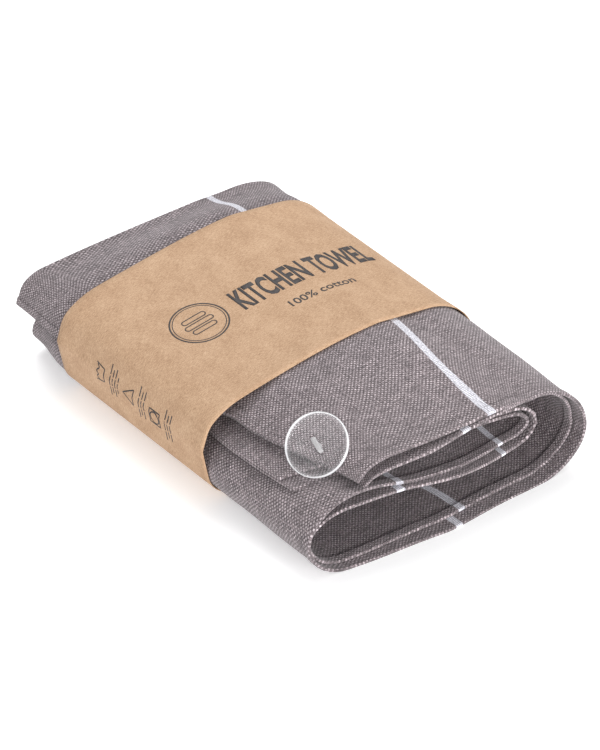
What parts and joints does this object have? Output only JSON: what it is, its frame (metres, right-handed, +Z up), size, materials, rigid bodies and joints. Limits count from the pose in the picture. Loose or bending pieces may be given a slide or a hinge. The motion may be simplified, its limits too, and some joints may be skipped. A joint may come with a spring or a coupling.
{
  "type": "folded kitchen towel",
  "caption": "Folded striped cotton kitchen towel held by a kraft paper belly band, with a clear two-hole button sewn near the corner of its top flap.",
  "frame": {"origin": "under the middle of the pack, on the surface that it lies on", "axes": "+X along the pack towards the open hemmed ends, +Y across it towards the fold that joins the top flap to the base, +Z up"},
  "size_m": [0.222, 0.1532, 0.0577],
  "materials": {
    "towel_cloth": "matte",
    "hem_thread": "matte",
    "kraft_paper": "matte",
    "glue": "satin",
    "clear_plastic": "gloss",
    "button_thread": "matte"
  },
  "bodies": {
    "towel": {"towel_top_flap": "towel_cloth", "towel_outer_fold": "towel_cloth", "towel_base_panel": "towel_cloth", "towel_left_fold": "towel_cloth", "towel_middle_panel": "towel_cloth", "towel_inner_fold": "towel_cloth", "towel_inner_panel": "towel_cloth", "flap_edge_hem_thread": "hem_thread", "flap_end_hem_thread": "hem_thread"},
    "band": {"paper_band": "kraft_paper", "band_glue": "glue"},
    "button_shank": {"button_thread_shank": "button_thread"},
    "button": {"button": "clear_plastic", "button_thread_loop": "button_thread"}
  },
  "joints": [
    {"name": "band_slide", "type": "slide", "parent": "towel", "child": "band", "axis": [-1, 0, 0], "range_m": [0, 0.14]},
    {"name": "button_tilt", "type": "hinge", "parent": "towel", "child": "button_shank", "pos_m": [0.07349, -0.04542, 0.04355], "axis": [0.9135, 0.4067, 0], "range_deg": [-10, 1], "stiffness_Nm_per_rad": 0.004},
    {"name": "button_turn", "type": "hinge", "parent": "button_shank", "child": "button", "pos_m": [0.07349, -0.04542, 0.04355], "axis": [0.2926, -0.6571, 0.6947], "range_deg": [-30, 30], "stiffness_Nm_per_rad": 0.001}
  ]
}
